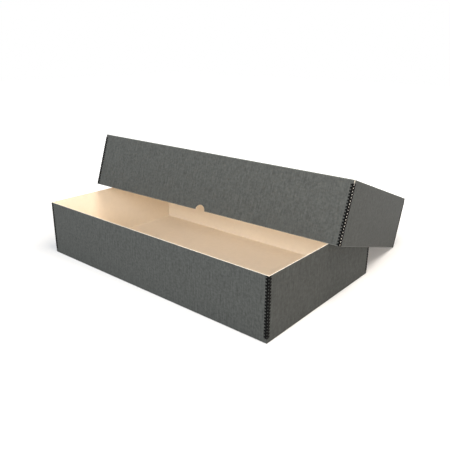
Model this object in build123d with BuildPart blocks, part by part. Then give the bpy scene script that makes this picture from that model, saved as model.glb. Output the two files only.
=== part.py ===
"""Archive box: a board base and a full-depth lid that leans on it, with metal stays on their corners."""

import os
from math import asin, cos, degrees, sin

from build123d import *

# Base, outside sizes over its facing paper
base_length = 762.0
base_width = 457.2
base_height = 152.4

# Board, and the grey paper glued to its outside
board_thickness = 1.3
facing_thickness = 0.3
inner_fold_radius = 0.4
corner_slit = 0.3
base_facing_setback = 0.1
lid_facing_setback = 1.4

# Lid: room between it and the base all round, and between its rim and the table when it is on
lid_side_room = 11.2
lid_foot_room = 1.0

# Half-round thumb notch in the rim of the lid's front wall
notch_radius = 14.5

# Corner stays: folded metal strips with holes on the fold, round bites in their edges, and prongs.
# They run from just inside the rim to at least the fold gap away from the closed face.
stay_thickness = 0.4
stay_leg = 8.2
stay_pitch = 7.2
stay_rim_gap = 0.3
stay_fold_gap = 8.5
stay_hole_radius = 1.6
stay_bite_radius = 1.9
stay_bite_inset = 1.6
prong_width = 2.0
prong_length = 1.2

# Where the lid leans: its rim lies across the base's end walls, this far back from the base's front
lid_crossing_setback = 231.0
rest_gap = 0.3
lid_end_gap = 1.0

# Sizes that follow from the ones above
wall = board_thickness + facing_thickness
fold_radius = inner_fold_radius + wall
lid_length = base_length + 2 * (lid_side_room + wall)
lid_width = base_width + 2 * (lid_side_room + wall)
lid_height = base_height + wall - lid_foot_room

# The lid turns in the plane of its rim until its right end wall meets the base's rear corner.
# Turned, the base's length takes up less of the lid's, which lets the lid turn a little more.
square_tilt = asin(base_height / (lid_width - wall))
corner_reach = (base_width - lid_crossing_setback) / cos(square_tilt)
end_play = 2 * lid_side_room - lid_end_gap
first_turn = asin(end_play / corner_reach)
lid_turn = asin((end_play + base_length * (1 - cos(first_turn))) / corner_reach)

# It tilts back over both end walls of the base until its rear right corner touches the table
length_past_base = lid_length - wall - base_length * cos(lid_turn)
rim_run = length_past_base * sin(lid_turn) + (lid_width - wall) * cos(lid_turn)
lid_tilt = asin(base_height / rim_run)

# Rim plane: origin where the front wall crosses the base's right end wall, X along the front wall
right_crossing = (base_length / 2, lid_crossing_setback - base_width / 2, base_height + rest_gap)
lid_up = Vector(0, 0, 1).rotate(Axis.X, -degrees(lid_tilt))
lid_along = Vector(1, 0, 0).rotate(Axis(right_crossing, lid_up), degrees(lid_turn))
lid_rim_plane = Plane(origin=right_crossing, x_dir=lid_along, z_dir=lid_up)
lid_centre_x = length_past_base - lid_length / 2
lid_centre_y = lid_width / 2 - wall

# Planes: origin in the middle of a tray's closed face, Z towards its open side
base_plane = Plane.XY
lid_top_centre = lid_rim_plane.from_local_coords((lid_centre_x, lid_centre_y, lid_height))
lid_plane = Plane(origin=lid_top_centre, x_dir=lid_along, z_dir=-lid_up)


def folded_block(plane, length, width, height, radius):
    """A solid block on the plane, with the four edges of its closed face rounded as folds."""
    with BuildPart() as block:
        with BuildSketch(plane):
            Rectangle(length, width)
        extrude(amount=height)
        closed_face = block.faces().sort_by(Axis(plane.origin, plane.z_dir))[0]
        fillet(closed_face.edges(), radius=radius)
    return block.part


def folded_tray(plane, length, width, height, thickness, radius):
    """The skin of such a block: a closed face and four walls, open on the far side."""
    hollow = folded_block(
        plane.offset(thickness),
        length - 2 * thickness,
        width - 2 * thickness,
        height,
        radius - thickness,
    )
    with BuildPart() as tray:
        add(folded_block(plane, length, width, height, radius))
        add(hollow, mode=Mode.SUBTRACT)
    return tray.part


def board_tray(plane, length, width, height):
    """The board inside its facing: long walls run through, end walls butt against them at a slit."""
    board_plane = plane.offset(facing_thickness)
    board_length = length - 2 * facing_thickness
    board_width = width - 2 * facing_thickness
    slit_x = board_length - board_thickness
    slit_y = board_width - 2 * board_thickness - corner_slit
    shell = folded_tray(
        board_plane,
        board_length,
        board_width,
        height - facing_thickness,
        board_thickness,
        fold_radius - facing_thickness,
    )
    with BuildPart() as tray:
        add(shell)
        with BuildSketch(plane.offset(fold_radius)):
            with GridLocations(slit_x, slit_y, 2, 2):
                Rectangle(2 * board_thickness, corner_slit)
        extrude(amount=height, mode=Mode.SUBTRACT)
    return tray.part


def facing_tray(plane, length, width, height, setback):
    """The facing paper, which stops short of each upright corner by the setback."""
    with BuildPart() as tray:
        add(folded_tray(plane, length, width, height, facing_thickness, fold_radius))
        with BuildSketch(plane.offset(fold_radius)):
            with GridLocations(length, width, 2, 2):
                Rectangle(2 * setback, 2 * setback)
        extrude(amount=height, mode=Mode.SUBTRACT)
    return tray.part


def corner_plane(plane, length, width, side_x, side_y):
    """A plane on one upright corner edge, with X and Y along the two walls, away from the corner."""
    corner = plane.from_local_coords((side_x * length / 2, side_y * width / 2, 0))
    if side_x == side_y:
        along = plane.x_dir * -side_x
    else:
        along = plane.y_dir * -side_y
    return Plane(origin=corner, x_dir=along, z_dir=plane.z_dir)


def corner_stay(height):
    """An angle strip over a corner on the Z axis: holes on the fold, bites in the edges between prongs.

    It is as many half pitches long as fit, and starts in the middle of a bite, so that an odd one ends
    in the middle of a hole at the rim.
    """
    half_pitches = int(2 * (height - stay_rim_gap - stay_fold_gap) / stay_pitch)
    stay_length = half_pitches * stay_pitch / 2
    start = height - stay_rim_gap - stay_length
    bite_heights = [start + stay_pitch * unit for unit in range(half_pitches // 2 + 1)]
    hole_heights = [start + stay_pitch * (unit + 0.5) for unit in range((half_pitches + 1) // 2)]
    prong_heights = hole_heights[: half_pitches // 2]
    bite_place = stay_leg - stay_bite_inset
    # Each leg's plane has X up the corner, and Z out of the leg's outer face
    first_leg = Plane(origin=(0, 0, 0), x_dir=(0, 0, 1), z_dir=(0, -1, 0))
    second_leg = Plane(origin=(0, 0, 0), x_dir=(0, 0, 1), z_dir=(-1, 0, 0))
    with BuildPart() as stay:
        with BuildSketch(Plane.XY.offset(start)):
            with BuildLine():
                Polyline(
                    (-stay_thickness, -stay_thickness),
                    (stay_leg, -stay_thickness),
                    (stay_leg, 0),
                    (0, 0),
                    (0, stay_leg),
                    (-stay_thickness, stay_leg),
                    close=True,
                )
            make_face()
        extrude(amount=stay_length)
        for leg_plane, side in ((first_leg, -1), (second_leg, 1)):
            with BuildSketch(leg_plane):
                with Locations(*[(z, 0) for z in hole_heights]):
                    Circle(stay_hole_radius)
                with Locations(*[(z, side * bite_place) for z in bite_heights]):
                    Circle(stay_bite_radius)
            extrude(amount=stay_thickness, mode=Mode.SUBTRACT)
            prong_place = side * (stay_leg - stay_thickness / 2)
            with BuildSketch(leg_plane):
                with Locations(*[(z, prong_place) for z in prong_heights]):
                    Rectangle(prong_width, stay_thickness)
            extrude(amount=-prong_length)
    return stay.part


# Base
with BuildPart() as base_board:
    add(board_tray(base_plane, base_length, base_width, base_height))
base_board.part.label = "base_board"

with BuildPart() as base_facing:
    add(facing_tray(base_plane, base_length, base_width, base_height, base_facing_setback))
base_facing.part.label = "base_facing"

# Lid, with the thumb notch through board and facing
notch_centre = lid_plane.from_local_coords((0, lid_width / 2, lid_height))
with BuildPart() as notch_cutter:
    with BuildSketch(Plane(origin=notch_centre, x_dir=lid_plane.x_dir, z_dir=lid_plane.y_dir)):
        Circle(notch_radius)
    extrude(amount=2 * wall, both=True)

with BuildPart() as lid_board:
    add(board_tray(lid_plane, lid_length, lid_width, lid_height))
    add(notch_cutter.part, mode=Mode.SUBTRACT)
lid_board.part.label = "lid_board"

with BuildPart() as lid_facing:
    add(facing_tray(lid_plane, lid_length, lid_width, lid_height, lid_facing_setback))
    add(notch_cutter.part, mode=Mode.SUBTRACT)
lid_facing.part.label = "lid_facing"

# One stay on each upright corner of both trays
side_x_names = {-1: "left", 1: "right"}
base_side_y_names = {-1: "front", 1: "rear"}
lid_side_y_names = {1: "front", -1: "rear"}
trays = (
    ("base", base_plane, base_length, base_width, base_height, base_side_y_names),
    ("lid", lid_plane, lid_length, lid_width, lid_height, lid_side_y_names),
)
stays = []
for tray_name, plane, length, width, height, side_y_names in trays:
    tray_stay = corner_stay(height)
    for side_x, name_x in side_x_names.items():
        for side_y, name_y in side_y_names.items():
            stay = corner_plane(plane, length, width, side_x, side_y).location * tray_stay
            stay.label = f"{tray_name}_stay_{name_y}_{name_x}"
            stays.append(stay)

os.makedirs("parts", exist_ok=True)
for piece in (base_board.part, base_facing.part, lid_board.part, lid_facing.part, *stays):
    export_step(piece, f"parts/{piece.label}.step")
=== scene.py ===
"""Archive box: the looks of a folded board base and of the full-depth lid that leans open on it.

Each tray is one board blank, papered outside, folded up on four sides and held at its upright
corners by punched metal stays. The pieces are built round the frame, and the stage is set last.
"""

from collections import namedtuple
from math import acos, cos, pi, radians, sin

import bpy
import numpy as np
from bpy.props import FloatProperty, FloatVectorProperty, PointerProperty
from bpy.types import Operator, Panel, PropertyGroup
from mathutils import Euler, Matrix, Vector


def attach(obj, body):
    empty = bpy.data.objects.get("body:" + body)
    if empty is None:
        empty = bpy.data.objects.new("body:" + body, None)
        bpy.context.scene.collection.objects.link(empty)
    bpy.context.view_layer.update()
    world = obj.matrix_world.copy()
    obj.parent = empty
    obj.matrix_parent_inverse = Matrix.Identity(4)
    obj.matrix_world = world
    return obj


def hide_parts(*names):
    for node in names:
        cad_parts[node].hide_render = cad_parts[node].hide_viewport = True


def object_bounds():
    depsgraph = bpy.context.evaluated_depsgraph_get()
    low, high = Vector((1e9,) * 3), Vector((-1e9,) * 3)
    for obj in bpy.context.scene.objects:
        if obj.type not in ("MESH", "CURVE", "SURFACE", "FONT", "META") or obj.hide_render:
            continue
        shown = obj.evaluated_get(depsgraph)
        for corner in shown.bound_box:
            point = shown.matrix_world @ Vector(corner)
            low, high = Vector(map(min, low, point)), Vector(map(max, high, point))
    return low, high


bl_info = {
    "name": "Archive Box",
    "version": (1, 0, 0),
    "blender": (4, 5, 0),
    "location": "3D View > Sidebar > Archive Box",
    "description": "Papered board trays and punched corner stays round the frame of an archive box",
    "category": "Object",
}

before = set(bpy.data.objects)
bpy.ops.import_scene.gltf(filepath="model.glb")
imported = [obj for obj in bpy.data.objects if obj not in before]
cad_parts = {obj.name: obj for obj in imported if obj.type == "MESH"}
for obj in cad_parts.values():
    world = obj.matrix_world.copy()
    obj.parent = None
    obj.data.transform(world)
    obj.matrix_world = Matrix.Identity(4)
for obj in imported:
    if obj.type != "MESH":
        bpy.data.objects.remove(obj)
cad_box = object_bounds()

MM = 0.001

Tray = namedtuple("Tray", "body origin axes length width height front")


def measured_tray(body, front):
    """A tray's place, measured on its facing paper. Its origin is the closed face's middle.

    Each triangle adds its area times the outer product of its normal with itself to one matrix. The
    tray's flat faces are square to each other, so that matrix's eigenvectors are the tray's axes:
    X meets the end walls, which have the least area, Y the long walls and Z the closed face. X
    points right, and Z to the open side, which is away from the centre of area. front is the side
    of Y that the tray's front is on.
    """
    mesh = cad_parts[f"{body}_facing"].data
    points = np.empty(3 * len(mesh.vertices))
    mesh.vertices.foreach_get("co", points)
    points = points.reshape(-1, 3)
    mesh.calc_loop_triangles()
    triangles = np.empty(3 * len(mesh.loop_triangles), int)
    mesh.loop_triangles.foreach_get("vertices", triangles)
    corners = points[triangles.reshape(-1, 3)]
    normals = np.cross(corners[:, 1] - corners[:, 0], corners[:, 2] - corners[:, 0]) / 2
    areas = np.linalg.norm(normals, axis=1)
    normals, corners, areas = normals[areas > 0], corners[areas > 0], areas[areas > 0]
    spread = np.einsum("n,ni,nj->ij", 1 / areas, normals, normals)
    along_x, _, along_z = np.linalg.eigh(spread)[1].T
    centre_of_area = (corners.mean(axis=1) * areas[:, None]).sum(axis=0) / areas.sum()
    heights = points @ along_z
    if (heights.min() + heights.max()) / 2 < centre_of_area @ along_z:
        along_z = -along_z
    along_x = along_x * np.sign(along_x[0])
    axes = np.array((along_x, np.cross(along_z, along_x), along_z))
    lowest = (points @ axes.T).min(axis=0)
    highest = (points @ axes.T).max(axis=0)
    length, width, height = highest - lowest
    middle = (lowest + highest) / 2
    origin = np.array((middle[0], middle[1], lowest[2])) @ axes
    return Tray(body, origin, axes, length, width, height, front)


def placed(tray, points):
    """Points given in a tray's own frame, in the part's frame."""
    return tray.origin + points @ tray.axes


BASE = measured_tray("base", front=-1)
LID = measured_tray("lid", front=1)


def linear(code):
    """The linear colour of an sRGB hex code, with alpha."""
    channels = [int(code[k : k + 2], 16) / 255 for k in (1, 3, 5)]
    return [c / 12.92 if c <= 0.04045 else ((c + 0.055) / 1.055) ** 2.4 for c in channels] + [1.0]


# Settings


class TraySizes(PropertyGroup):
    """Sizes of the board and of its facing paper."""

    board: FloatProperty(
        name="Board",
        description="Thickness of the board",
        default=1.3 * MM,
        unit="LENGTH",
        precision=4,
    )
    paper: FloatProperty(
        name="Paper",
        description="Thickness of the facing paper",
        default=0.3 * MM,
        unit="LENGTH",
        precision=4,
    )
    glue: FloatProperty(
        name="Glue",
        description="Film of glue under the paper",
        default=0.02 * MM,
        unit="LENGTH",
        precision=5,
    )
    fold: FloatProperty(
        name="Fold",
        description="Outer radius of the folds",
        default=2.0 * MM,
        unit="LENGTH",
        precision=4,
    )
    base_setback: FloatProperty(
        name="Base Setback",
        description="How far the base's paper stops short of its upright corners",
        default=0.1 * MM,
        unit="LENGTH",
        precision=4,
    )
    lid_setback: FloatProperty(
        name="Lid Setback",
        description="How far the lid's paper stops short of its upright corners",
        default=1.1 * MM,
        unit="LENGTH",
        precision=4,
    )
    notch: FloatProperty(
        name="Notch",
        description="Radius of the thumb notch in the lid",
        default=14.5 * MM,
        unit="LENGTH",
    )
    bow: FloatProperty(
        name="Bow",
        description="How far the middle of a long wall's rim stands out from a straight line",
        default=0.5 * MM,
        unit="LENGTH",
        precision=4,
    )


class StaySizes(PropertyGroup):
    """Sizes of the punched corner stays."""

    thickness: FloatProperty(
        name="Thickness",
        description="Thickness of the strip",
        default=0.4 * MM,
        unit="LENGTH",
        precision=4,
    )
    leg: FloatProperty(
        name="Leg",
        description="Width of each leg from the tray's corner",
        default=8.2 * MM,
        unit="LENGTH",
    )
    pitch: FloatProperty(
        name="Pitch",
        description="Height of one punched unit",
        default=7.2 * MM,
        unit="LENGTH",
    )
    rim_gap: FloatProperty(
        name="Rim Gap",
        description="From the strip's end to the rim",
        default=0.3 * MM,
        unit="LENGTH",
        precision=4,
    )
    fold_gap: FloatProperty(
        name="Fold Gap",
        description="Least length of corner between the strip and the closed face",
        default=8.5 * MM,
        unit="LENGTH",
    )
    hole: FloatProperty(
        name="Hole",
        description="Radius of the holes on the bend",
        default=1.5 * MM,
        unit="LENGTH",
    )
    bite: FloatProperty(
        name="Bite",
        description="Radius of the round bites in the edges",
        default=1.9 * MM,
        unit="LENGTH",
    )
    bite_inset: FloatProperty(
        name="Bite Inset",
        description="How far inside the strip's edge the middle of a bite lies",
        default=1.6 * MM,
        unit="LENGTH",
    )
    bend: FloatProperty(
        name="Bend",
        description="Inner radius of the strip's bend",
        default=0.5 * MM,
        unit="LENGTH",
    )
    prong: FloatProperty(
        name="Prong",
        description="How deep the prongs go in",
        default=1.2 * MM,
        unit="LENGTH",
    )
    prong_width: FloatProperty(
        name="Prong Width",
        description="Width of a prong where it leaves the strip",
        default=2.0 * MM,
        unit="LENGTH",
    )


class Finishes(PropertyGroup):
    """Colours of the real materials, the board edge's lightened as a painted highlight."""

    paper: FloatVectorProperty(
        name="Facing Paper",
        description="Middle shade of the grey facing paper",
        default=linear("#3F413F")[:3],
        subtype="COLOR",
    )
    board: FloatVectorProperty(
        name="Board",
        description="Face of the tan board",
        default=linear("#F6E8D4")[:3],
        subtype="COLOR",
    )
    # Pale raw pulp, lightened further as a painted highlight for the lit cut rims
    board_edge_and_highlight: FloatVectorProperty(
        name="Board Edge",
        description="Raw pulp of the board",
        default=linear("#F4EDE1")[:3],
        subtype="COLOR",
    )
    enamel: FloatVectorProperty(
        name="Enamel",
        description="Black enamel of the stays",
        default=linear("#080808")[:3],
        subtype="COLOR",
    )


class StageSizes(PropertyGroup):
    """Camera and lamps."""

    lens: FloatProperty(
        name="Lens", description="Focal length in millimetres, on a 36 mm sensor", default=40.52
    )
    world: FloatProperty(
        name="World", description="Strength of the light from all round", default=0.2
    )


# Meshes


def graded(start, end, steps):
    """Steps from start to end, shorter near both, as half a turn of a cosine spaces them."""
    return start + (end - start) * (1 - np.cos(np.linspace(0, pi, steps + 1))) / 2


def sheet_faces(kept):
    """Quads of a sheet over the kept cells of a grid, with each quad's cell and kind.

    The sheet has an outer and an inner layer of numbered points. Each kept cell gives one quad on
    each layer, and each side of it whose neighbour isn't kept gives a strip that joins the layers.
    A cell is its row and column, and the kind is 0 outside, 1 inside and 2 on a cut edge.
    """
    rows, columns = kept.shape
    number = np.arange((rows + 1) * (columns + 1)).reshape(rows + 1, columns + 1)
    layer = number.size
    i, j = np.nonzero(kept)
    around = (number[i, j], number[i, j + 1], number[i + 1, j + 1], number[i + 1, j])
    outer = np.stack(around, axis=1)
    quads, cells, kinds = [outer, outer[:, ::-1] + layer], [np.stack((i, j), axis=1)] * 2, [0, 1]
    padded = np.pad(kept, 1)
    # Each side of a cell: the neighbour beyond it, then its two ends
    sides = (
        ((-1, 0), (0, 1), (0, 0)),
        ((0, 1), (1, 1), (0, 1)),
        ((1, 0), (1, 0), (1, 1)),
        ((0, -1), (0, 0), (1, 0)),
    )
    for (down, across), first, second in sides:
        free = kept & ~padded[1 + down : 1 + down + rows, 1 + across : 1 + across + columns]
        i, j = np.nonzero(free)
        a = number[i + first[0], j + first[1]]
        b = number[i + second[0], j + second[1]]
        quads.append(np.stack((a, b, b + layer, a + layer), axis=1))
        cells.append(np.stack((i, j), axis=1))
        kinds.append(2)
    kind_of = np.repeat(kinds, [len(q) for q in quads])
    return np.concatenate(quads), np.concatenate(cells), kind_of


# Faces that meet at more than this angle meet at a sharp edge
SHARP_ANGLE = radians(35)


def new_piece(name, tray, points, faces, materials, part_of=None, marks=None, grain=None):
    """A mesh object from a tray's own points and faces, riding on the tray's body.

    faces is a list of arrays, each of faces with like numbers of corners. part_of gives each face's
    material, marks a value for each point as the attribute wear_and_highlight, for scuffing and a
    painted highlight, and grain the UV coordinates of each face's corners, in metres.
    """
    every_corner = np.concatenate([block.ravel() for block in faces])
    used, corners = np.unique(every_corner, return_inverse=True)
    ends = np.cumsum([block.size for block in faces])
    polygons = []
    for part, block in zip(np.split(corners, ends[:-1]), faces):
        polygons += part.reshape(block.shape).tolist()
    mesh = bpy.data.meshes.new(name)
    mesh.from_pydata(placed(tray, points[used]).tolist(), [], polygons)
    for material in materials:
        mesh.materials.append(material)
    if part_of is not None:
        mesh.polygons.foreach_set("material_index", part_of.astype(np.int32))
    if marks is not None:
        # Scuffing and painted highlight on folds and rims, for the paper's shader
        wear_and_highlight = mesh.attributes.new("wear_and_highlight", "FLOAT", "POINT")
        wear_and_highlight.data.foreach_set("value", marks[used].astype(np.float32))
    if grain is not None:
        layer = mesh.uv_layers.new(name="grain")
        layer.data.foreach_set("uv", grain.astype(np.float32).ravel())
    mesh.polygons.foreach_set("use_smooth", np.ones(len(polygons), bool))
    mesh.set_sharp_from_angle(angle=SHARP_ANGLE)
    mesh.validate()
    piece = bpy.data.objects.new(name, mesh)
    bpy.context.scene.collection.objects.link(piece)
    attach(piece, tray.body)
    return piece


WALL_STEPS = 16
FOLD_STEPS = 8
FLAT_STEPS = 24
# Columns this many notch radii away from the notch's middle stay as they are
NOTCH_MARGIN = 1.2
# Scuffing and painted highlight along the rims, where the crest of a fold has 1
RIM_WEAR_AND_HIGHLIGHT = 0.7
# Edges sharper than this angle are softened by a share of the sheet's thickness, up to a limit
EDGE_ANGLE = radians(50)
EDGE_SHARE = 0.3
SOFTEST_EDGE = 0.15 * MM


def side_lines(half, height, fold, depth):
    """Reach, rise and growth of a layer from the closed face's edge over the fold to the rim.

    The fold is a quarter circle about a centre that lies one fold radius in and up. Growth goes
    from 0 at the closed face to 1 where the wall starts, as the sine of the fold's angle.
    """
    turn = np.linspace(0, pi / 2, FOLD_STEPS + 1)[1:]
    heights = graded(fold, height, WALL_STEPS)[1:]
    wall_reach = np.full(WALL_STEPS, half - depth)
    reach = np.concatenate((half - fold + (fold - depth) * np.sin(turn), wall_reach))
    rise = np.concatenate((fold - (fold - depth) * np.cos(turn), heights))
    growth = np.concatenate((np.sin(turn), np.ones(WALL_STEPS)))
    return reach, rise, growth


def both_sides(side, flat, sign=1):
    """Values along one direction of a tray: one side from its rim, the closed face, the other."""
    return np.concatenate((sign * side[::-1], flat, side))


def layer_points(tray, sizes, depth, flats, ends, notch):
    """Points of one layer of a folded blank, depth inside the tray's outer faces.

    The grid runs over the blank as a cross: its walls are the cross's arms, folded up. A wall's
    points keep their share of its length, so that they spread from the closed face's corner to the
    wall's end.
    """
    halves = (tray.length / 2, tray.width / 2)
    reaches, rises, spreads = [], [], []
    for half, flat, other_half, end in zip(halves, flats, halves[::-1], ends):
        reach, rise, growth = side_lines(half, tray.height, sizes.fold, depth)
        reaches.append(both_sides(reach, flat, sign=-1))
        rises.append(both_sides(rise, np.full(len(flat), depth)))
        widest = end / (other_half - sizes.fold)
        spreads.append(both_sides(1 + growth * (widest - 1), np.ones(len(flat))))
    x = reaches[0][:, None] * spreads[1][None, :]
    y = reaches[1][None, :] * spreads[0][:, None]
    z = np.maximum(rises[0][:, None], rises[1][None, :])
    if notch:
        # The rim over the notch is a half circle, and the rows under it close up in proportion
        drop = np.sqrt(np.maximum(notch**2 - x**2, 0))
        on_wall = y * tray.front > tray.width / 2 - sizes.fold
        share = np.clip((z - sizes.fold) / (tray.height - sizes.fold), 0, 1)
        z = np.where(on_wall, z - share * drop, z)
    # A wall's rim bows out as a parabola, less on the shorter walls, and the bow fades to nothing
    # at the fold and the corners
    lift = np.clip((z - sizes.fold) / (tray.height - sizes.fold), 0, 1)
    end_bow = sizes.bow * tray.width / tray.length
    bow_x = end_bow * lift * (1 - np.clip(2 * y / tray.width, -1, 1) ** 2)
    bow_y = sizes.bow * lift * (1 - np.clip(2 * x / tray.length, -1, 1) ** 2)
    past_x = np.abs(reaches[0])[:, None] > tray.length / 2 - sizes.fold
    past_y = np.abs(reaches[1])[None, :] > tray.width / 2 - sizes.fold
    x = x + np.where(past_x, np.sign(x) * bow_x, 0)
    y = y + np.where(past_y, np.sign(y) * bow_y, 0)
    return np.stack((x, y, z), axis=-1).reshape(-1, 3)


def folded_blank(name, tray, sizes, depths, ends, materials, finish_of):
    """A folded sheet with thickness, from the layer at depths[0] to the one at depths[1].

    ends gives half the width of the end walls and half the length of the long walls, and finish_of
    which of the materials the outer layer, the inner layer and the cut edges have.
    """
    notch = sizes.notch if tray is LID else 0
    edges = (tray.length / 2 - sizes.fold, tray.width / 2 - sizes.fold)
    flats = [graded(-edge, edge, FLAT_STEPS) for edge in edges]
    if notch:
        # Columns at equal turns round the notch, in place of those that it covers, and drawn in by
        # as much as the wall spreads them
        scale = edges[0] / ends[1]
        round_notch = notch * scale * np.sin(np.linspace(-pi / 2, pi / 2, FLAT_STEPS + 1))
        clear = flats[0][np.abs(flats[0]) > NOTCH_MARGIN * notch]
        flats[0] = np.sort(np.concatenate((clear, round_notch)))
    points = np.concatenate([layer_points(tray, sizes, d, flats, ends, notch) for d in depths])
    side = FOLD_STEPS + WALL_STEPS
    is_flat = [np.zeros(2 * side + len(flat) - 1, bool) for flat in flats]
    for mask, flat in zip(is_flat, flats):
        mask[side : side + len(flat) - 1] = True
    quads, cells, kind_of = sheet_faces(is_flat[0][:, None] | is_flat[1][None, :])
    # Scuffing and painted highlight where the folds catch light: full on the crest of each fold,
    # and some along the rims
    turn = np.linspace(0, pi / 2, FOLD_STEPS + 1)[1:]
    on_side = np.concatenate((np.sin(2 * turn), np.zeros(WALL_STEPS)))
    on_side[-1] = RIM_WEAR_AND_HIGHLIGHT
    wear_and_highlight = [both_sides(on_side, np.zeros(len(flat))) for flat in flats]
    marks = np.tile(np.maximum(wear_and_highlight[0][:, None], wear_and_highlight[1][None, :]).ravel(), 2)
    # Grain: across a wall's length and up its height, and along both sides of the closed face
    x, y, z = points[quads].transpose(2, 0, 1)
    on_end = ~is_flat[0][cells[:, 0]][:, None]
    on_long = ~is_flat[1][cells[:, 1]][:, None]
    grain = np.stack((np.where(on_end, y, x), np.where(on_end | on_long, z, y)), axis=-1)
    part_of = np.array(finish_of)[kind_of]
    piece = new_piece(name, tray, points, [quads], materials, part_of, marks, grain)
    bevel = piece.modifiers.new("soft_cut_edges", "BEVEL")
    bevel.width = min(EDGE_SHARE * abs(depths[1] - depths[0]), SOFTEST_EDGE)
    bevel.segments = 2
    bevel.limit_method = "ANGLE"
    bevel.angle_limit = EDGE_ANGLE
    bevel.harden_normals = True
    return piece


BEND_STEPS = 2
BITE_STEPS = 4
HOLE_STEPS = 2
WELD_DISTANCE = 0.0001 * MM
# A prong starts inside the strip, this share of its thickness in from the middle layer
PRONG_ROOT = 0.4
# Width of a prong's tip, as a share of its root's
PRONG_TAPER = 0.35


def quarter_unit(edge, bend, sizes):
    """Points of a quarter of one punched unit of the flat strip: its outline, and then its hole.

    The outline runs from the fold out along the unit's foot, at height 0, round a bite's circle to
    its mouth in the strip's edge, and up to the height of the hole's middle. The hole's quarter
    circle has points on the same lines across the bend as the outline has.
    """
    columns = np.linspace(0, bend, BEND_STEPS + 1)
    turn = np.linspace(pi, acos(sizes.bite_inset / sizes.bite), BITE_STEPS + 1)
    bite_u = edge - sizes.bite_inset + sizes.bite * np.cos(turn)
    outline_u = np.concatenate((columns, bite_u, [edge]))
    outline_v = np.concatenate((0 * columns, sizes.bite * np.sin(turn), [sizes.pitch / 2]))
    side = acos(bend / sizes.hole) * np.linspace(1, 0, HOLE_STEPS + 1)[1:]
    turn = np.append(np.arccos(columns / sizes.hole), side)
    hole_u, hole_v = sizes.hole * np.cos(turn), sizes.pitch / 2 - sizes.hole * np.sin(turn)
    return np.stack((outline_u, outline_v), axis=1), np.stack((hole_u, hole_v), axis=1)


def quarter_faces(outline, hole):
    """Faces of a quarter unit: quads over the bend and round the edges, and one on the flat leg.

    The leg's face runs out along the outline and back round the hole. Each is given for the strip's
    outer side and, turned over, for its inner side, whose points follow the outer side's. The walls
    along the foot and at the hole's middle are given apart, because they close only the strip's
    ends.
    """
    side = len(outline) + len(hole)
    along, round_hole = np.arange(len(outline)), np.arange(len(outline), side)
    near, far = slice(0, BEND_STEPS), slice(1, BEND_STEPS + 1)
    web = np.stack((along[near], along[far], round_hole[far], round_hole[near]), axis=1)
    leg = np.append(along[BEND_STEPS:], round_hole[: BEND_STEPS - 1 : -1])[None]
    rim = np.stack((along[1:], along[:-1], along[:-1] + side, along[1:] + side), axis=1)
    this, following = round_hole[:-1], round_hole[1:]
    wall = np.stack((this, following, following + side, this + side), axis=1)
    head = np.array([[side - 1, len(outline) - 1, side + len(outline) - 1, 2 * side - 1]])
    foot, edges = rim[: BEND_STEPS + 1], rim[BEND_STEPS + 1 :]
    quads = np.concatenate((web, web[:, ::-1] + side, edges, wall))
    return quads, np.concatenate((leg, leg[:, ::-1] + side)), foot, head


def bent(u, v, out, sizes):
    """Points of the flat strip, out from its middle layer, bent round a corner on the Z axis.

    Within the bend, u turns about the bend's centre by u over the middle radius. Beyond it, a point
    goes straight on along the tangent, so that the legs lie along +X and +Y.
    """
    middle = sizes.bend + sizes.thickness / 2
    on_arc = np.clip(u, -middle * pi / 4, middle * pi / 4)
    angle = 1.25 * pi + on_arc / middle
    reach, slide = middle + out, u - on_arc
    x = sizes.bend + reach * np.cos(angle) - slide * np.sin(angle)
    y = sizes.bend + reach * np.sin(angle) + slide * np.cos(angle)
    return np.stack(np.broadcast_arrays(x, y, v), axis=-1)


def stay_mesh(tray, sizes):
    """Points and faces of one punched stay, with its corner on the Z axis.

    The strip is a stack of half units, as many as fit, each a quarter and its mirror image over the
    fold. Every second half is upside down. It is bent round the corner and welded into one surface.
    An odd number of halves ends at the rim in the middle of a hole.
    """
    # Half the bend along the strip's middle layer, and how far its edge is from the fold when flat
    bend = (sizes.bend + sizes.thickness / 2) * pi / 4
    edge = sizes.leg - sizes.bend + bend
    outline, hole = quarter_unit(edge, bend, sizes)
    quads, leg, foot, head = quarter_faces(outline, hole)
    u, v = np.concatenate((outline, hole)).T
    out = np.array((sizes.thickness / 2, -sizes.thickness / 2))[:, None]
    halves = int(2 * (tray.height - sizes.rim_gap - sizes.fold_gap) / sizes.pitch)
    start = tray.height - sizes.rim_gap - halves * sizes.pitch / 2
    points, quad_blocks, leg_blocks = [], [], []
    for half in range(halves):
        upside_down = half % 2
        rise = sizes.pitch / 2 - v if upside_down else v
        last = foot if upside_down else head
        ends = [foot] * (half == 0) + [last] * (half == halves - 1)
        for mirror in (1, -1):
            first_point = 2 * len(u) * len(points)
            turned = slice(None, None, -1 if (mirror < 0) != upside_down else 1)
            quad_blocks.append(np.concatenate([quads] + ends)[:, turned] + first_point)
            leg_blocks.append(leg[:, turned] + first_point)
            heights = start + half * sizes.pitch / 2 + rise
            points.append(bent(mirror * u, heights, out, sizes).reshape(-1, 3))
    middles = start + sizes.pitch * (np.arange(halves // 2) + 0.5)
    tips, tip_quads = prongs(edge, middles, sizes)
    strip = np.concatenate(points)
    quad_blocks.append(tip_quads + len(strip))
    faces = [np.concatenate(quad_blocks), np.concatenate(leg_blocks)]
    return welded(np.concatenate((strip, tips)), faces)


def welded(points, faces):
    """The points, with those merged that agree to the weld distance, and their faces."""
    keys = np.round(points / WELD_DISTANCE).astype(int)
    _, first, merged = np.unique(keys, axis=0, return_index=True, return_inverse=True)
    return points[first], [merged.ravel()[block] for block in faces]


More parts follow.
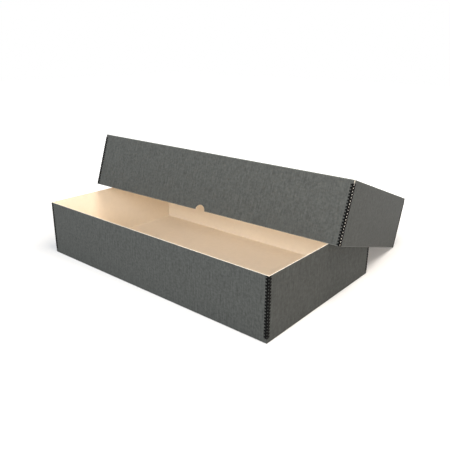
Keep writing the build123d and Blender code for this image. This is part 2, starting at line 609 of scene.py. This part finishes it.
def prongs(edge, heights, sizes):
    """Points and quads of the prongs: boxes that taper from the strip to a tip inside the board."""
    corner = np.array(((-1, -1), (1, -1), (1, 1), (-1, 1)))
    taper = np.array((1.0, PRONG_TAPER))[:, None]
    across = edge - sizes.thickness / 2 + corner[:, 0] * sizes.thickness / 2 * taper
    up = corner[:, 1] * sizes.prong_width / 2 * taper
    out = np.array((-PRONG_ROOT * sizes.thickness, -sizes.thickness / 2 - sizes.prong))[:, None]
    ends = ((0, 1, 2, 3), (7, 6, 5, 4))
    box = np.array((*ends, (0, 4, 5, 1), (1, 5, 6, 2), (2, 6, 7, 3), (3, 7, 4, 0)))
    points, quads = [], []
    for leg, faces in ((1, box), (-1, box[:, ::-1])):
        start = 8 * len(heights) * len(points) + 8 * np.arange(len(heights))[:, None, None]
        quads.append((faces + start).reshape(-1, 4))
        points.append(bent(leg * across, heights[:, None, None] + up, out, sizes).reshape(-1, 3))
    return np.concatenate(points), np.concatenate(quads)


# Materials

# Sockets of a Mix node that mixes colours: its two inputs and its result
MIX_A, MIX_B, MIXED = 6, 7, 2


def add_node(tree, kind, links=None, **settings):
    """A shader node with its settings, and with values or other nodes' outputs on its inputs."""
    node = tree.nodes.new(kind)
    for name, value in settings.items():
        setattr(node, name, value)
    for socket, value in (links or {}).items():
        if isinstance(value, bpy.types.NodeSocket):
            tree.links.new(value, node.inputs[socket])
        else:
            node.inputs[socket].default_value = value
    return node


def new_material(name):
    """An empty material, and its node tree."""
    material = bpy.data.materials.new(name)
    material.use_nodes = True
    material.node_tree.nodes.clear()
    return material, material.node_tree


def shaded(colour, factor):
    """A linear colour made lighter or darker by a factor, with alpha."""
    return [c * factor for c in colour[:3]] + [1.0]


def grey_facing_paper(finishes):
    """Fibre-dyed facing paper, calendered and glued down: a dull mottle of dark and pale fibres.

    It is matt with a faint sheen, its fibres run mostly up the walls, and it is a little paler
    along
    its folds and rims: partly where they have scuffed its surface, and partly as a painted
    highlight where the folds catch light.
    """
    # Clouds of fibre, and the streaks that the paper machine leaves
    cloud, streak_width, streak_length = 6 * MM, 2 * MM, 40 * MM
    # Real tufts of fibre, 0.4 mm, are too fine to show, so they are drawn three times as coarse
    fibre = 1.2 * MM
    # The mottle adds these shares of streaks and fibres to its clouds
    streak_share, fibre_share = 0.8, 0.7
    # It runs from dark to pale over this much on either side of its middle
    middle, spread = (1 + streak_share + fibre_share) / 2, 0.32
    dark, pale = shaded(finishes.paper, 0.58), shaded(finishes.paper, 1.42)
    # Paler on folds and rims: partly scuffing, partly a painted highlight where folds catch light
    wear_and_highlight_colour, wear_and_highlight_share = linear("#A9ACA6"), 0.42

    material, tree = new_material("grey_facing_paper")
    place = add_node(tree, "ShaderNodeTexCoord").outputs["Object"]
    grain = add_node(tree, "ShaderNodeUVMap", uv_map="grain").outputs["UV"]
    clouds = add_node(
        tree,
        "ShaderNodeTexNoise",
        {"Vector": place, "Scale": 1 / cloud, "Detail": 3.0, "Roughness": 0.6},
    )
    stretched = add_node(
        tree,
        "ShaderNodeMapping",
        {"Vector": grain, "Scale": (1 / streak_width, 1 / streak_length, 1.0)},
    )
    streaks = add_node(
        tree,
        "ShaderNodeTexNoise",
        {"Vector": stretched.outputs[0], "Scale": 1.0, "Detail": 2.0},
    )
    fibres = add_node(
        tree,
        "ShaderNodeTexNoise",
        {"Vector": place, "Scale": 1 / fibre, "Detail": 4.0, "Roughness": 0.7, "Distortion": 1.5},
    )
    sums = add_node(
        tree,
        "ShaderNodeMath",
        {0: streaks.outputs[0], 1: streak_share, 2: clouds.outputs[0]},
        operation="MULTIPLY_ADD",
    )
    mottle = add_node(
        tree,
        "ShaderNodeMath",
        {0: fibres.outputs[0], 1: fibre_share, 2: sums.outputs[0]},
        operation="MULTIPLY_ADD",
    )
    tone = add_node(
        tree,
        "ShaderNodeMapRange",
        {"Value": mottle.outputs[0], "From Min": middle - spread, "From Max": middle + spread},
    )
    mottled = add_node(
        tree,
        "ShaderNodeMix",
        {"Factor": tone.outputs[0], MIX_A: dark, MIX_B: pale},
        data_type="RGBA",
    )
    # The mark of scuffing and painted highlight mixes in the paler colour
    wear_and_highlight = add_node(tree, "ShaderNodeAttribute", attribute_name="wear_and_highlight")
    worn_and_lit = add_node(
        tree, "ShaderNodeMath", {0: wear_and_highlight.outputs["Fac"], 1: wear_and_highlight_share}, operation="MULTIPLY"
    )
    colour = add_node(
        tree,
        "ShaderNodeMix",
        {"Factor": worn_and_lit.outputs[0], MIX_A: mottled.outputs[MIXED], MIX_B: wear_and_highlight_colour},
        data_type="RGBA",
    )
    roughness = add_node(
        tree,
        "ShaderNodeMapRange",
        {
            "Value": fibres.outputs[0],
            "From Min": 0.3,
            "From Max": 0.7,
            "To Min": 0.55,
            "To Max": 0.75,
        },
    )
    bump = add_node(
        tree,
        "ShaderNodeBump",
        {"Height": fibres.outputs[0], "Strength": 0.35, "Distance": 0.1 * MM},
    )
    shader = add_node(
        tree,
        "ShaderNodeBsdfPrincipled",
        {
            "Base Color": colour.outputs[MIXED],
            "Roughness": roughness.outputs[0],
            "IOR": 1.45,
            "Specular IOR Level": 0.3,
            "Normal": bump.outputs[0],
        },
    )
    add_node(tree, "ShaderNodeOutputMaterial", {"Surface": shader.outputs[0]})
    return material


def tan_archival_board(finishes):
    """Solid buffered board, calendered smooth: an even tan with faint clouds of fibre."""
    cloud = 14 * MM
    # Real tufts of fibre, under 0.5 mm, are too fine to show, so they are drawn twice as coarse
    fibre = 0.9 * MM
    # The mottle adds this share of fibres to its clouds
    fibre_share = 0.6
    # It runs from dark to pale over this much on either side of its middle
    middle, spread = (1 + fibre_share) / 2, 0.25
    dark, pale = shaded(finishes.board, 0.98), shaded(finishes.board, 1.02)

    material, tree = new_material("tan_archival_board")
    place = add_node(tree, "ShaderNodeTexCoord").outputs["Object"]
    clouds = add_node(
        tree, "ShaderNodeTexNoise", {"Vector": place, "Scale": 1 / cloud, "Detail": 3.0}
    )
    fibres = add_node(
        tree,
        "ShaderNodeTexNoise",
        {"Vector": place, "Scale": 1 / fibre, "Detail": 3.0, "Distortion": 1.0},
    )
    mottle = add_node(
        tree,
        "ShaderNodeMath",
        {0: fibres.outputs[0], 1: fibre_share, 2: clouds.outputs[0]},
        operation="MULTIPLY_ADD",
    )
    tone = add_node(
        tree,
        "ShaderNodeMapRange",
        {"Value": mottle.outputs[0], "From Min": middle - spread, "From Max": middle + spread},
    )
    colour = add_node(
        tree,
        "ShaderNodeMix",
        {"Factor": tone.outputs[0], MIX_A: dark, MIX_B: pale},
        data_type="RGBA",
    )
    bump = add_node(
        tree,
        "ShaderNodeBump",
        {"Height": fibres.outputs[0], "Strength": 0.08, "Distance": 0.05 * MM},
    )
    shader = add_node(
        tree,
        "ShaderNodeBsdfPrincipled",
        {
            "Base Color": colour.outputs[MIXED],
            "Roughness": 0.6,
            "IOR": 1.45,
            "Normal": bump.outputs[0],
        },
    )
    add_node(tree, "ShaderNodeOutputMaterial", {"Surface": shader.outputs[0]})
    return material


def cut_board_edge(finishes):
    """Raw pulp, where the board is die-cut and on its face under the paper: pale, soft and matt.

    Its paleness is partly the pulp's own and partly a painted highlight for the lit cut rims.
    """
    # Torn tufts of fibre at the cut, drawn a little coarse so that they show
    fibre = 0.6 * MM
    # The pulp's colour carries a painted highlight for the lit cut rims
    dark, pale = shaded(finishes.board_edge_and_highlight, 0.86), shaded(finishes.board_edge_and_highlight, 1.08)

    material, tree = new_material("cut_board_edge")
    place = add_node(tree, "ShaderNodeTexCoord").outputs["Object"]
    fibres = add_node(
        tree,
        "ShaderNodeTexNoise",
        {"Vector": place, "Scale": 1 / fibre, "Detail": 3.0, "Distortion": 2.0},
    )
    colour = add_node(
        tree,
        "ShaderNodeMix",
        {"Factor": fibres.outputs[0], MIX_A: dark, MIX_B: pale},
        data_type="RGBA",
    )
    shader = add_node(
        tree,
        "ShaderNodeBsdfPrincipled",
        {"Base Color": colour.outputs[MIXED], "Roughness": 0.85, "IOR": 1.4},
    )
    add_node(tree, "ShaderNodeOutputMaterial", {"Surface": shader.outputs[0]})
    return material


def black_enamelled_steel(finishes):
    """Cold-rolled steel strip, punched and stove-enamelled black: dull, with some orange peel."""
    peel_size = 0.8 * MM
    dark, pale = shaded(finishes.enamel, 0.8), shaded(finishes.enamel, 1.25)

    material, tree = new_material("black_enamelled_steel")
    place = add_node(tree, "ShaderNodeTexCoord").outputs["Object"]
    peel = add_node(
        tree, "ShaderNodeTexNoise", {"Vector": place, "Scale": 1 / peel_size, "Detail": 2.0}
    )
    colour = add_node(
        tree,
        "ShaderNodeMix",
        {"Factor": peel.outputs[0], MIX_A: dark, MIX_B: pale},
        data_type="RGBA",
    )
    bump = add_node(
        tree,
        "ShaderNodeBump",
        {"Height": peel.outputs[0], "Strength": 0.2, "Distance": 0.05 * MM},
    )
    shader = add_node(
        tree,
        "ShaderNodeBsdfPrincipled",
        {
            "Base Color": colour.outputs[MIXED],
            "Roughness": 0.6,
            "IOR": 1.5,
            "Specular IOR Level": 0.04,
            "Normal": bump.outputs[0],
        },
    )
    add_node(tree, "ShaderNodeOutputMaterial", {"Surface": shader.outputs[0]})
    return material


def seen_directly(tree):
    """1 on rays from the camera, gloss or glass, and 0 on the rays that light a surface."""
    light_path = add_node(tree, "ShaderNodeLightPath")
    seen = light_path.outputs["Is Camera Ray"]
    for other in ("Is Glossy Ray", "Is Transmission Ray"):
        either = {0: seen, 1: light_path.outputs[other]}
        seen = add_node(tree, "ShaderNodeMath", either, operation="MAXIMUM").outputs[0]
    return seen


def pale_studio_floor():
    """Matt white laminate: it takes the object's shadow, runs out to white and is clear below.

    Seen directly it glows a little near the object, and fully where the lamps no longer reach.
    """
    # Distances from the middle of the floor, in metres, and the glow within and beyond them
    near, far = 0.5, 1.3
    near_glow, far_glow = 0.2, 1.0

    material, tree = new_material("pale_studio_floor")
    seen = seen_directly(tree)
    laminate = add_node(tree, "ShaderNodeBsdfDiffuse", {"Color": linear("#D8D8D8")})
    place = add_node(tree, "ShaderNodeTexCoord").outputs["Object"]
    away = add_node(tree, "ShaderNodeVectorMath", {0: place}, operation="LENGTH")
    strength = add_node(
        tree,
        "ShaderNodeMapRange",
        {
            "Value": away.outputs["Value"],
            "From Min": near,
            "From Max": far,
            "To Min": near_glow,
            "To Max": far_glow,
        },
        interpolation_type="SMOOTHSTEP",
    )
    glow = add_node(
        tree,
        "ShaderNodeEmission",
        {"Color": linear("#FFFFFF"), "Strength": strength.outputs[0]},
    )
    both = add_node(tree, "ShaderNodeAddShader", {0: laminate.outputs[0], 1: glow.outputs[0]})
    top = add_node(
        tree, "ShaderNodeMixShader", {0: seen, 1: laminate.outputs[0], 2: both.outputs[0]}
    )
    below = add_node(tree, "ShaderNodeNewGeometry").outputs["Backfacing"]
    clear = add_node(tree, "ShaderNodeBsdfTransparent")
    surface = add_node(
        tree, "ShaderNodeMixShader", {0: below, 1: top.outputs[0], 2: clear.outputs[0]}
    )
    add_node(tree, "ShaderNodeOutputMaterial", {"Surface": surface.outputs[0]})
    return material


def material_named(name, maker, *settings):
    """The material of that name, made the first time it is asked for."""
    return bpy.data.materials.get(name) or maker(*settings)


# Operators


class ARCHIVEBOX_OT_board_trays(Operator):
    """Fold the tan board of both trays, with the thumb notch in the lid's front wall"""

    bl_idname = "archivebox.board_trays"
    bl_label = "Board Trays"

    def execute(self, context):
        sizes, finishes = context.scene.archivebox_trays, context.scene.archivebox_finishes
        face = material_named("tan_archival_board", tan_archival_board, finishes)
        edge = material_named("cut_board_edge", cut_board_edge, finishes)
        outer = sizes.paper + sizes.glue
        inner = sizes.paper + sizes.board
        for tray in (BASE, LID):
            # The long walls run through, and the end walls butt against them at a slit
            ends = (tray.width / 2 - sizes.fold, tray.length / 2 - outer)
            # The outer layer is raw pulp like the cut edges, and shows where the paper stops short
            name = f"{tray.body}_board_tray"
            piece = folded_blank(
                name, tray, sizes, (outer, inner), ends, (face, edge), finish_of=(1, 0, 1)
            )
            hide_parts(f"{tray.body}_board")
        return {"FINISHED"}


class ARCHIVEBOX_OT_facing_papers(Operator):
    """Glue the grey facing paper round the outside of both trays"""

    bl_idname = "archivebox.facing_papers"
    bl_label = "Facing Papers"

    def execute(self, context):
        sizes, finishes = context.scene.archivebox_trays, context.scene.archivebox_finishes
        face = material_named("grey_facing_paper", grey_facing_paper, finishes)
        for tray, setback in ((BASE, sizes.base_setback), (LID, sizes.lid_setback)):
            ends = (tray.width / 2 - setback, tray.length / 2 - setback)
            name = f"{tray.body}_facing_paper"
            piece = folded_blank(
                name, tray, sizes, (0, sizes.paper), ends, (face,), finish_of=(0, 0, 0)
            )
            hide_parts(f"{tray.body}_facing")
        return {"FINISHED"}


class ARCHIVEBOX_OT_corner_stays(Operator):
    """Bend a punched black stay round each upright corner"""

    bl_idname = "archivebox.corner_stays"
    bl_label = "Corner Stays"

    def execute(self, context):
        sizes, finishes = context.scene.archivebox_stays, context.scene.archivebox_finishes
        enamel = material_named("black_enamelled_steel", black_enamelled_steel, finishes)
        for tray in (BASE, LID):
            points, faces = stay_mesh(tray, sizes)
            for side_x, name_x in ((-1, "left"), (1, "right")):
                for side_y, name_y in ((tray.front, "front"), (-tray.front, "rear")):
                    # Legs along the two walls, away from the corner, and Z towards the open side
                    along = (-side_x, 0, 0) if side_x == side_y else (0, -side_y, 0)
                    turned = np.array((along, np.cross((0, 0, 1), along), (0, 0, 1)))
                    corner = np.array((side_x * tray.length / 2, side_y * tray.width / 2, 0))
                    stay = f"{tray.body}_stay_{name_y}_{name_x}"
                    there = corner + points @ turned
                    piece = new_piece(f"{stay}_strip", tray, there, faces, (enamel,))
                    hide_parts(stay)
        return {"FINISHED"}


# Camera, in the part's frame: its place, and the way that it looks
CAMERA_PLACE = (892.33 * MM, -970.71 * MM, 570.25 * MM)
CAMERA_AZIMUTH = radians(40.086)
CAMERA_ELEVATION = radians(19.213)
CAMERA_ROLL = radians(0.366)

# Lamps: name, azimuth and elevation in degrees as seen from the object, distance and side in
# metres, power in watts and colour
LAMPS = (
    ("key_softbox", 12, 26, 2.0, 0.8, 30.5, "#F7FBFF"),
    ("top_softbox", 75, 66, 1.4, 1.0, 24.0, "#FFF4E6"),
    ("back_softbox", 160, 40, 2.0, 0.9, 12.0, "#FFFFFF"),
    ("left_fill", -50, 30, 1.4, 0.6, 3.8, "#F8FBFF"),
    ("right_fill", 68, 15, 1.3, 0.6, 2.4, "#FFEFDC"),
)


class ARCHIVEBOX_OT_stage(Operator):
    """Set the pale floor, the soft studio light and the camera"""

    bl_idname = "archivebox.stage"
    bl_label = "Stage"

    def execute(self, context):
        settings = context.scene.archivebox_stage
        self.lay_floor()
        self.light_world(context.scene, settings)
        for lamp in LAMPS:
            self.hang_lamp(*lamp)
        self.aim_camera(context.scene, settings)
        context.scene.view_settings.view_transform = "Standard"
        return {"FINISHED"}

    def lay_floor(self):
        """A square of floor, 16 m wide, just under the object."""
        half, level = 8.0, -0.1 * MM
        signs = ((-1, -1), (1, -1), (1, 1), (-1, 1))
        corners = [(x * half, y * half, level) for x, y in signs]
        mesh = bpy.data.meshes.new("studio_floor")
        mesh.from_pydata(corners, [], [(0, 1, 2, 3)])
        mesh.materials.append(material_named("pale_studio_floor", pale_studio_floor))
        floor = bpy.data.objects.new("studio_floor", mesh)
        bpy.context.scene.collection.objects.link(floor)

    def light_world(self, scene, settings):
        """Even light from all round, and white where it is seen directly."""
        world = bpy.data.worlds.new("soft_studio")
        world.use_nodes = True
        tree = world.node_tree
        tree.nodes.clear()
        seen = seen_directly(tree)
        strength = add_node(
            tree, "ShaderNodeMapRange", {"Value": seen, "To Min": settings.world, "To Max": 1.0}
        )
        light = add_node(
            tree,
            "ShaderNodeBackground",
            {"Color": linear("#FFFFFF"), "Strength": strength.outputs[0]},
        )
        add_node(tree, "ShaderNodeOutputWorld", {"Surface": light.outputs[0]})
        scene.world = world

    def hang_lamp(self, name, azimuth, elevation, distance, side, power, colour):
        """A square softbox that points at the middle of the object. Azimuth 0 is in front of it."""
        lamp = bpy.data.lights.new(name, "AREA")
        lamp.shape = "SQUARE"
        lamp.size = side
        lamp.energy = power
        lamp.color = linear(colour)[:3]
        lowest, highest = cad_box
        middle = (lowest + highest) / 2
        turn, rise = radians(azimuth), radians(elevation)
        away = Vector((sin(turn) * cos(rise), -cos(turn) * cos(rise), sin(rise)))
        holder = bpy.data.objects.new(name, lamp)
        holder.location = middle + distance * away
        holder.rotation_euler = away.to_track_quat("Z", "Y").to_euler()
        bpy.context.scene.collection.objects.link(holder)

    def aim_camera(self, scene, settings):
        """The photograph's camera, turned by its azimuth, tilted down and then rolled."""
        lens = bpy.data.cameras.new("camera")
        lens.sensor_width = 36.0
        lens.lens = settings.lens
        camera = bpy.data.objects.new("camera", lens)
        camera.location = CAMERA_PLACE
        turned = Euler((pi / 2 - CAMERA_ELEVATION, 0, CAMERA_AZIMUTH)).to_matrix()
        camera.rotation_euler = (turned @ Euler((0, 0, CAMERA_ROLL)).to_matrix()).to_euler()
        scene.collection.objects.link(camera)
        scene.camera = camera


class ARCHIVEBOX_PT_parts(Panel):
    """The box's pieces and stage, in the 3D view's sidebar"""

    bl_idname = "ARCHIVEBOX_PT_parts"
    bl_label = "Archive Box"
    bl_space_type = "VIEW_3D"
    bl_region_type = "UI"
    bl_category = "Archive Box"

    def draw(self, context):
        for group in SETTINGS:
            settings = getattr(context.scene, group)
            for name in settings.bl_rna.properties.keys():
                if name not in ("name", "rna_type"):
                    self.layout.prop(settings, name)
        for operator in OPERATORS:
            self.layout.operator(operator.bl_idname)


SETTINGS = {
    "archivebox_trays": TraySizes,
    "archivebox_stays": StaySizes,
    "archivebox_finishes": Finishes,
    "archivebox_stage": StageSizes,
}
OPERATORS = (
    ARCHIVEBOX_OT_board_trays,
    ARCHIVEBOX_OT_facing_papers,
    ARCHIVEBOX_OT_corner_stays,
    ARCHIVEBOX_OT_stage,
)


def register():
    for name, group in SETTINGS.items():
        bpy.utils.register_class(group)
        setattr(bpy.types.Scene, name, PointerProperty(type=group))
    for item in (*OPERATORS, ARCHIVEBOX_PT_parts):
        bpy.utils.register_class(item)


def unregister():
    for item in (ARCHIVEBOX_PT_parts, *reversed(OPERATORS)):
        bpy.utils.unregister_class(item)
    for name, group in reversed(SETTINGS.items()):
        delattr(bpy.types.Scene, name)
        bpy.utils.unregister_class(group)


def main():
    """Builds every piece and the stage."""
    register()
    bpy.ops.archivebox.board_trays()
    bpy.ops.archivebox.facing_papers()
    bpy.ops.archivebox.corner_stays()
    bpy.ops.archivebox.stage()


if __name__ == "__main__":
    main()
